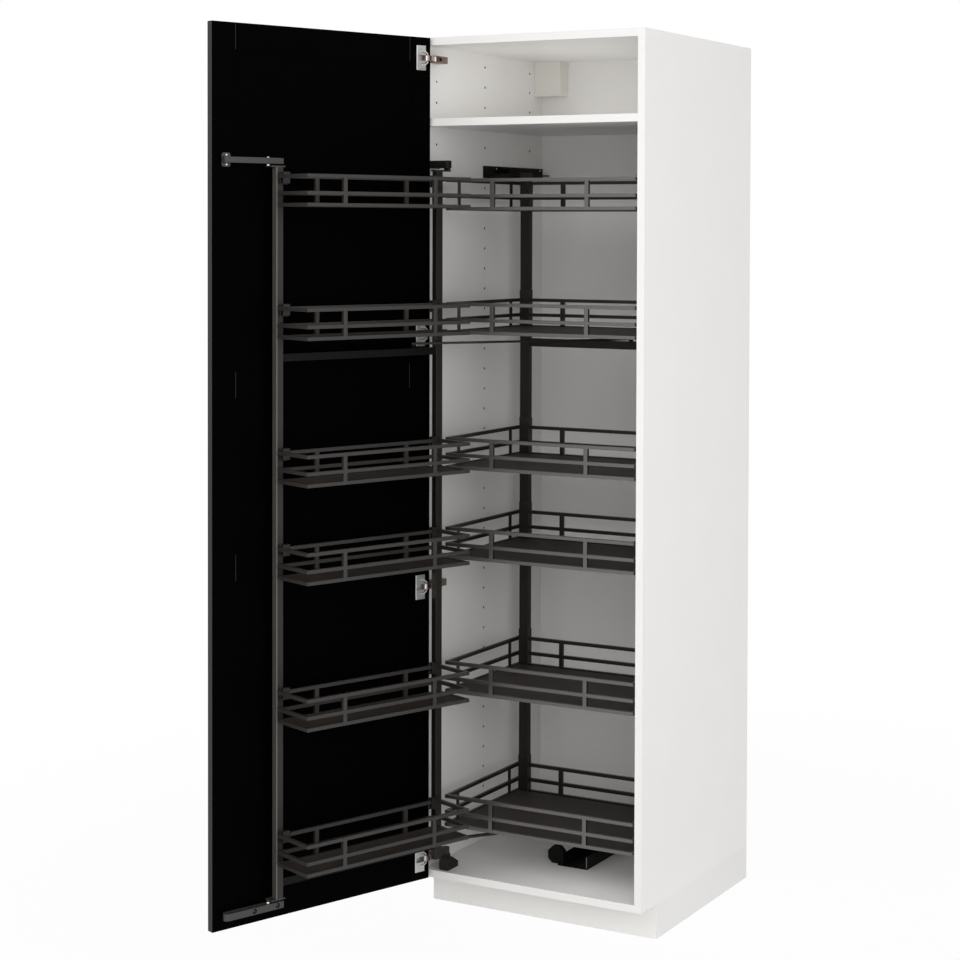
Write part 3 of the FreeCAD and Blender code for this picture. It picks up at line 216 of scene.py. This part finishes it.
# Kinds of small trim, with sizes in millimetres
HEAD_SIDES = 20
HEAD_TAPER = 0.8
SPOT_SIDES = 12
SPOT_LIFT = 0.05
BORE_SHADE_SIDES = 16
BORE_SHADE_SINK = 0.1
MOUTH_REACH = 0.01
ARC_STEPS = 12
ARC_START = 68.0
ARC_END = 148.0


def finish_piece(name, mesh_data, body, surface):
    """Makes a piece of the mesh, with its material, that rides on a body."""
    mesh = bpy.data.meshes.new(name)
    mesh_data.to_mesh(mesh)
    mesh_data.free()
    mesh.materials.append(surface)
    piece = bpy.data.objects.new(name, mesh)
    scene.collection.objects.link(piece)
    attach(piece, body)


def facing(normal):
    """The turn that points a shape's own Z along the normal."""
    return normal.to_track_quat("Z", "Y").to_matrix().to_4x4()


def heads(name, body, places, normal, radius, tall, surface=ZINC, slot="hinge_nickel"):
    """Round heads standing on a face, one at each place."""
    data = bmesh.new()
    for place in places:
        seat = Matrix.Translation(place + normal * tall / 2 * MM) @ facing(normal)
        bmesh.ops.create_cone(data, cap_ends=True, segments=HEAD_SIDES, radius1=radius * MM,
                              radius2=radius * HEAD_TAPER * MM, depth=tall * MM, matrix=seat)
    finish_piece(name, data, body, surface)


def spots(name, body, places, normal, radius, surface=HOLE_SHADE):
    """Flat round discs of painted shade lying on a face, one at each place, for holes too small to bore."""
    data = bmesh.new()
    for place in places:
        seat = Matrix.Translation(place + normal * SPOT_LIFT * MM) @ facing(normal)
        bmesh.ops.create_circle(data, cap_ends=True, segments=SPOT_SIDES, radius=radius * MM, matrix=seat)
    finish_piece(name, data, body, surface)


def bore_shades(name, body, places, normal, radius, depth):
    """Painted shade inside bored holes: a dark tube with a floor, sunk below the face at each place."""
    data = bmesh.new()
    for place in places:
        mouth = place - normal * BORE_SHADE_SINK * MM
        seat = Matrix.Translation(mouth - normal * depth / 2 * MM) @ facing(normal)
        made = bmesh.ops.create_cone(data, cap_ends=True, segments=BORE_SHADE_SIDES, radius1=radius * MM,
                                     radius2=radius * MM, depth=depth * MM, matrix=seat)
        faces = {face for vert in made["verts"] for face in vert.link_faces}
        caps = [face for face in faces if len(face.verts) == BORE_SHADE_SIDES]
        lids = [face for face in caps if (face.calc_center_median() - mouth).length < MOUTH_REACH * MM]
        bmesh.ops.delete(data, geom=lids, context="FACES_ONLY")
    finish_piece(name, data, body, HOLE_SHADE)


def blocks(name, body, places, axes, size, surface):
    """Small boxes centred at each place, with their size along, away and up."""
    data = bmesh.new()
    turn = Matrix((axes.along, axes.away, axes.up)).transposed().to_4x4()
    for place in places:
        seat = Matrix.Translation(place) @ turn @ Matrix.Diagonal((*[side * MM for side in size], 1.0))
        bmesh.ops.create_cube(data, size=1.0, matrix=seat)
    finish_piece(name, data, body, surface)


def arc_pairs(name, body, places, axes, inner, outer, tall, surface):
    """Two raised arcs round each place, above and below it, mostly on the side opposite to along."""
    data = bmesh.new()
    corners = ((inner, 0.0), (outer, 0.0), (outer, tall), (inner, tall))
    for place in places:
        for side in (1, -1):
            sections = []
            for i in range(ARC_STEPS + 1):
                angle = math.radians(ARC_START + (ARC_END - ARC_START) * i / ARC_STEPS)
                spoke = axes.along * math.cos(angle) + axes.up * side * math.sin(angle)
                points = [place + (spoke * r + axes.away * o) * MM for r, o in corners]
                sections.append([data.verts.new(point) for point in points])
            for one, other in zip(sections, sections[1:]):
                for i in range(len(corners)):
                    data.faces.new((one[i], one[i - 1], other[i - 1], other[i]))
            data.faces.new(sections[0])
            data.faces.new(sections[-1][::-1])
    bmesh.ops.recalc_face_normals(data, faces=data.faces)
    finish_piece(name, data, body, surface)


# Shelf pin holes: dark discs of painted shade in three columns on each side, none at the fixed shelf, and dark
# tubes of painted shade in the bored ones
PIN_COLUMNS = (-244.5, -16.7, 211.1)
PIN_STEP = 50
PIN_RADIUS = 2.9
BORED_ROW = 1980
BORE_RADIUS = 2.45
BORE_DEPTH = 10.5
side_low, side_high = in_mm(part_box("side_left"))
shelf_low, shelf_high = in_mm(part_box("fixed_shelf"))
front_column, middle_column, rear_column = PIN_COLUMNS
levels = range(round(side_low.z) + PIN_STEP, round(side_high.z), PIN_STEP)
rows = [z for z in levels if z != BORED_ROW and not shelf_low.z < z < shelf_high.z]
walls = {"left": side_high.x, "right": in_mm(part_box("side_right"))[0].x}
for side, x in walls.items():
    inward = Vector((-math.copysign(1.0, x), 0.0, 0.0))
    places = [carcass.point(x, y, z) for y in PIN_COLUMNS for z in rows]
    places.append(carcass.point(x, middle_column, BORED_ROW))
    spots("pin_hole_shades_" + side, "carcass", places, inward, PIN_RADIUS)
    bored = [carcass.point(x, y, BORED_ROW) for y in (front_column, rear_column)]
    bore_shades("pin_bores_" + side, "carcass", bored, inward, BORE_RADIUS, BORE_DEPTH)

# Hinges: a slot of painted shade and a screw on each arm, two screws on each cup plate; a screw is its radius and
# height
HINGE_END = 50.0
HINGE_MID = 700.0
ARM_SLOT_BACK = 23.2
ARM_SLOT = (0.4, 9.0, 8.0)
ARM_SCREW_BACK = 37.7
ARM_SCREW = (3.5, 0.8)
CUP_U = 21.5
CUP_PLATE = 1.5
CUP_SCREW_U = CUP_U + 8.0
CUP_SCREW_REACH = 24.0
CUP_SCREW = (3.0, 0.7)
upper_hinges = (side_high.z - HINGE_END, side_high.z - HINGE_MID)
lower_hinges = (side_low.z + HINGE_MID, side_low.z + HINGE_END)
hinge_levels = (*upper_hinges, *lower_hinges)
arm_low, arm_high = in_mm(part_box("hinge_arms"))
arm_slots = [carcass.point(arm_high.x, arm_low.y + ARM_SLOT_BACK, z) for z in hinge_levels]
arm_screws = [carcass.point(arm_high.x, arm_low.y + ARM_SCREW_BACK, z) for z in hinge_levels]
cup_screw_levels = [z + reach for z in hinge_levels for reach in (-CUP_SCREW_REACH, CUP_SCREW_REACH)]
cup_screws = [door.point(CUP_SCREW_U, CUP_PLATE, z) for z in cup_screw_levels]
blocks("hinge_arm_slots", "carcass", arm_slots, carcass, ARM_SLOT, RECESS_SHADE)
heads("hinge_arm_screws", "carcass", arm_screws, RIGHT, *ARM_SCREW, MATERIALS["hinge_bronze"],
      "hinge_bronze")
heads("hinge_cup_screws", "door", cup_screws, door.away, *CUP_SCREW, MATERIALS["hinge_nickel"])

# Hinges: rim of each cup plate, its groove in painted shade, a painted highlight on its edge, and painted shade in
# the gap between the link's two knuckles
RIM_INNER = 14.8
RIM_OUTER = 17.2
RIM_TALL = 2.1
GROOVE_INNER = 13.4
GROOVE_TALL = 1.65
PLATE_EDGE_U = 39.8
PLATE_EDGE = (2.0, 0.2, 56.5)
LINK_GAP_U = 3.0
LINK_GAP_O = 6.6
LINK_GAP = (2.4, 0.8, 11.4)
cups = [door.point(CUP_U, 0.0, z) for z in hinge_levels]
plate_edges = [door.point(PLATE_EDGE_U, CUP_PLATE, z) for z in hinge_levels]
link_gaps = [door.point(LINK_GAP_U, LINK_GAP_O, z) for z in hinge_levels]
arc_pairs("hinge_cup_rims", "door", cups, door, RIM_INNER, RIM_OUTER, RIM_TALL, RIM)
arc_pairs("hinge_cup_grooves", "door", cups, door, GROOVE_INNER, RIM_INNER, GROOVE_TALL, RECESS_SHADE)
# Painted highlight: a pale strip along the bevelled edge of each cup plate
blocks("hinge_plate_highlights", "door", plate_edges, door, PLATE_EDGE, PLATE_HIGHLIGHT)
blocks("hinge_link_gaps", "hinge_links", link_gaps, door, LINK_GAP, RECESS_SHADE)

# Door: edge band on the free edge, paler than the door as painted light from the front-left; seams between rails
# and stiles, paler than the door as painted highlights; screws on the top bracket
DOOR_WIDTH = 597.0
DOOR_THICK = 18.0
BAND = 0.4
BAND_INSET = 0.5
STILE = 60.0
SEAM_WIDTH = 1.0
SEAM_TALL = 0.1
SEAM_INSET = 1.0
BRACKET_FACE = 3.0
BRACKET_SCREW_U = 562.5
BRACKET_SCREW_END = 5.0
BRACKET_SCREW = (2.6, 1.2)
door_low, door_high = in_mm(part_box("door_stile_free"))
band = door.point(DOOR_WIDTH + BAND / 2, -DOOR_THICK / 2, (door_low.z + door_high.z) / 2)
band_size = (BAND, DOOR_THICK - 2 * BAND_INSET, door_high.z - door_low.z - 2 * BAND_INSET)
blocks("door_edge_band", "door", [band], door, band_size, EDGE_BAND_PAINTED_LIGHT)
rails = [in_mm(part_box("door_rail_" + name)) for name in ("top", "upper", "lower")]
rail_levels = [(low.z + high.z) / 2 for low, high in rails]
# Seams at the joints of rails and stiles, as strips paler than the door: a painted highlight
seams = [door.point(u, SEAM_TALL / 2, z) for u in (STILE, DOOR_WIDTH - STILE) for z in rail_levels]
seam_size = (SEAM_WIDTH, SEAM_TALL, STILE - 2 * SEAM_INSET)
blocks("door_seam_highlights", "door", seams, door, seam_size, SEAM_HIGHLIGHT)
bracket_low, bracket_high = in_mm(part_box("door_bracket"))
bracket_levels = (bracket_high.z - BRACKET_SCREW_END, bracket_low.z + BRACKET_SCREW_END)
bracket_screws = [door.point(BRACKET_SCREW_U, BRACKET_FACE, z) for z in bracket_levels]
heads("bracket_screws", "door", bracket_screws, door.away, *BRACKET_SCREW)

# Slide rail: a screw at the bottom of each of its holes, on a dark disc of painted shade
SLIDE_SCREW_PLACES = (439.5, 500.0)
SLIDE_BOTTOM = 14.0
SLIDE_HOLE_RADIUS = 5.3
SLIDE_SCREW = (3.4, 3.5)
slide_low, slide_high = in_mm(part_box("door_slide_rail"))
slide_screws = [door.point(u, SLIDE_BOTTOM, (slide_low.z + slide_high.z) / 2) for u in SLIDE_SCREW_PLACES]
spots("slide_hole_shades", "door", slide_screws, door.away, SLIDE_HOLE_RADIUS, RECESS_SHADE)
heads("slide_screws", "door", slide_screws, door.away, *SLIDE_SCREW, MATERIALS["slider_steel"],
      "slider_steel")

# Rack: painted light, a paler face on the free post's outer side, and a painted highlight along the rounded edge
# beside it
POST_OUTER = 490.0
POST_O = 6.6
POST_HALF = 8.0
FACE_THICK = 0.3
FACE_WIDTH = 14.0
FACE_INSET = 0.5
EDGE_WIDTH = 2.4
post_low, post_high = in_mm(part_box("rack_post_free"))
post_middle = (post_low.z + post_high.z) / 2
face_length = post_high.z - post_low.z - 2 * FACE_INSET
post_painted_light = rack.point(POST_OUTER + FACE_THICK / 2, POST_O, post_middle)
painted_edge_highlight = rack.point(POST_OUTER - EDGE_WIDTH / 2, POST_O + POST_HALF + FACE_THICK / 2, post_middle)
blocks("rack_post_painted_light", "rack", [post_painted_light], rack, (FACE_THICK, FACE_WIDTH, face_length), POST_PAINTED_LIGHT)
blocks("rack_post_edge_highlight", "rack", [painted_edge_highlight], rack, (EDGE_WIDTH, FACE_THICK, face_length), EDGE_HIGHLIGHT)

# Rack: bright ends of the slider pins over the top bar and on the slide rail
PIN_U = 498.0
PIN_O = -6.9
BAR_TOP = 1784.0
PIN_HEAD_LIFT = 0.3
PIN_HEAD = (3.6, 2.0)
COLLAR_LEVELS = (1766.5, 121.4)
COLLAR = (4.6, 4.2)
pin_head = rack.point(PIN_U, PIN_O, BAR_TOP + PIN_HEAD_LIFT)
collars = [rack.point(PIN_U, PIN_O, z) for z in COLLAR_LEVELS]
heads("slider_pin_head", "rack", [pin_head], UP, *PIN_HEAD)
heads("slider_pin_collars", "rack", collars, UP, *COLLAR)

# Carcass fittings: screws of the wall guide, a painted highlight on the edge of the floor runner, pin on the upper
# bracket
GUIDE_FACE = -279.0
GUIDE_SCREW_PLACES = ((36.5, 1779.1), (261.9, 1780.0))
GUIDE_SCREW = (2.2, 1.0)
RUNNER_SHEET = 3.0
RUNNER_EDGE = (2.4, 0.3, 26.0)
PIVOT_PIN = (4.0, 1.5)
guide_screws = [carcass.point(GUIDE_FACE, y, z) for y, z in GUIDE_SCREW_PLACES]
heads("guide_screws", "carcass", guide_screws, RIGHT, *GUIDE_SCREW)
runner_low, runner_high = in_mm(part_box("floor_runner"))
runner_wall = runner_high.x - RUNNER_SHEET / 2
runner_edge = carcass.point(runner_wall, runner_low.y, runner_high.z - RUNNER_EDGE[2] / 2)
blocks("runner_edge_highlight", "carcass", [runner_edge], carcass, RUNNER_EDGE, EDGE_HIGHLIGHT)
tongue_top = in_mm(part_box("pivot_bracket"))[1].z
heads("pivot_pin_head", "carcass", [rack.point(0.0, 0.0, tongue_top)], UP, *PIVOT_PIN)

# Floor: pale, white to the camera far from the part, with the part's soft shadow near it
FLOOR_SIZE = 60.0
FLOOR_COLOR = (0.92, 0.92, 0.92, 1.0)
FLOOR_ROUGHNESS = 0.9
WHITE = (1.0, 1.0, 1.0, 1.0)
WHITE_NEAR = 0.96
FADE_START = 0.9
FADE_END = 2.6


def seen_directly(tree):
    """One for what the camera sees, also in glossy and clear surfaces, and nought for scattered light."""
    path = tree.nodes.new("ShaderNodeLightPath")
    total = path.outputs["Is Camera Ray"]
    for ray in ("Is Glossy Ray", "Is Transmission Ray"):
        largest = tree.nodes.new("ShaderNodeMath")
        largest.operation = "MAXIMUM"
        tree.links.new(total, largest.inputs[0])
        tree.links.new(path.outputs[ray], largest.inputs[1])
        total = largest.outputs[0]
    return total


def floor_paper():
    """Pale paper that passes into plain white with the distance from the part."""
    paper = bpy.data.materials.new("ground_white")
    paper.use_nodes = True
    tree = paper.node_tree
    surface = tree.nodes["Principled BSDF"]
    surface.inputs["Base Color"].default_value = FLOOR_COLOR
    surface.inputs["Roughness"].default_value = FLOOR_ROUGHNESS
    surface.inputs["Specular IOR Level"].default_value = 0.0
    place = tree.nodes.new("ShaderNodeTexCoord")
    reach = tree.nodes.new("ShaderNodeVectorMath")
    reach.operation = "LENGTH"
    tree.links.new(place.outputs["Object"], reach.inputs[0])
    fade = tree.nodes.new("ShaderNodeMapRange")
    fade.interpolation_type = "SMOOTHSTEP"
    fade.inputs["From Min"].default_value = FADE_START
    fade.inputs["From Max"].default_value = FADE_END
    fade.inputs["To Min"].default_value = WHITE_NEAR
    fade.inputs["To Max"].default_value = 1.0
    tree.links.new(reach.outputs["Value"], fade.inputs["Value"])
    share = tree.nodes.new("ShaderNodeMath")
    share.operation = "MULTIPLY"
    tree.links.new(fade.outputs["Result"], share.inputs[0])
    tree.links.new(seen_directly(tree), share.inputs[1])
    white = tree.nodes.new("ShaderNodeEmission")
    white.inputs["Color"].default_value = WHITE
    white.inputs["Strength"].default_value = 1.0
    mixed = tree.nodes.new("ShaderNodeMixShader")
    tree.links.new(share.outputs[0], mixed.inputs["Fac"])
    tree.links.new(surface.outputs["BSDF"], mixed.inputs[1])
    tree.links.new(white.outputs["Emission"], mixed.inputs[2])
    tree.links.new(mixed.outputs["Shader"], tree.nodes["Material Output"].inputs["Surface"])
    return paper


bpy.ops.mesh.primitive_plane_add(size=FLOOR_SIZE, location=(0.0, 0.0, 0.0))
ground = bpy.context.object
ground.name = "ground"
ground.data.materials.append(floor_paper())

# Light: a soft white surround, four large soft lamps, and three weak ones inside the cabinet
SURROUND = 0.52


def studio():
    """A white surround that is weaker as a light than to the eye."""
    world = bpy.data.worlds.new("studio")
    world.use_nodes = True
    tree = world.node_tree
    background = tree.nodes["Background"]
    background.inputs["Color"].default_value = WHITE
    level = tree.nodes.new("ShaderNodeMapRange")
    level.inputs["To Min"].default_value = SURROUND
    level.inputs["To Max"].default_value = 1.0
    tree.links.new(seen_directly(tree), level.inputs["Value"])
    tree.links.new(level.outputs["Result"], background.inputs["Strength"])
    return world


def soft_light(name, place, target, size, power):
    """A rectangular lamp at a place in metres, turned to its target, with its power in watts."""
    lamp = bpy.data.lights.new(name, "AREA")
    lamp.shape = "RECTANGLE"
    lamp.size, lamp.size_y = size
    lamp.energy = power
    lit = bpy.data.objects.new(name, lamp)
    scene.collection.objects.link(lit)
    lit.location = place
    lit.rotation_euler = (Vector(target) - Vector(place)).to_track_quat("-Z", "Y").to_euler()


scene.world = studio()
soft_light("front", place=(0.7, -4.2, 1.6), target=(0.0, 0.0, 1.1), size=(4.0, 3.0), power=37.0)
soft_light("right", place=(3.2, -3.4, 1.6), target=(0.0, 0.0, 1.2), size=(2.5, 2.5), power=40.0)
soft_light("side", place=(4.4, -1.2, 1.8), target=(0.3, 0.0, 1.1), size=(3.0, 3.0), power=20.0)
soft_light("high", place=(0.7, -4.4, 4.2), target=(0.0, 0.0, 0.8), size=(4.0, 2.5), power=30.0)
soft_light("upper_bay", place=(0.0, 0.04, 1.90), target=(0.0, 0.04, 2.06), size=(0.4, 0.45), power=0.175)
soft_light("lower_bay", place=(0.03, -0.12, 0.2), target=(0.03, -0.12, 0.1), size=(0.5, 0.33), power=0.05)
soft_light("lower_front", place=(0.13, -0.26, 0.2), target=(0.13, -0.26, 0.1), size=(0.3, 0.06),
           power=0.045)

# Camera of the photograph: focal length and centre in pixels, sensor in millimetres, place in metres
FOCAL = 2069.818
IMAGE = 960.0
CENTRE = (562.667, 281.587)
SENSOR = 36.0
CLIP_END = 100.0
STAND = Vector((2.342413, -4.471695, 1.627700))
YAW = math.radians(28.339)
PITCH = math.radians(1.443)
ROLL = math.radians(0.211)
ahead = Vector((-math.sin(YAW) * math.cos(PITCH), math.cos(YAW) * math.cos(PITCH), -math.sin(PITCH)))
across = Vector((math.cos(YAW), math.sin(YAW), 0.0))
rise = across.cross(ahead)
camera_right = across * math.cos(ROLL) + rise * math.sin(ROLL)
camera_up = rise * math.cos(ROLL) - across * math.sin(ROLL)
camera_turn = Matrix((camera_right, camera_up, -ahead)).transposed().to_4x4()
lens = bpy.data.cameras.new("photo_camera")
lens.sensor_width = SENSOR
lens.lens = FOCAL / IMAGE * SENSOR
lens.shift_x = (IMAGE / 2 - CENTRE[0]) / IMAGE
lens.shift_y = (CENTRE[1] - IMAGE / 2) / IMAGE
lens.clip_end = CLIP_END
viewer = bpy.data.objects.new("photo_camera", lens)
scene.collection.objects.link(viewer)
viewer.matrix_world = Matrix.Translation(STAND) @ camera_turn
scene.camera = viewer
scene.view_settings.view_transform = "Standard"
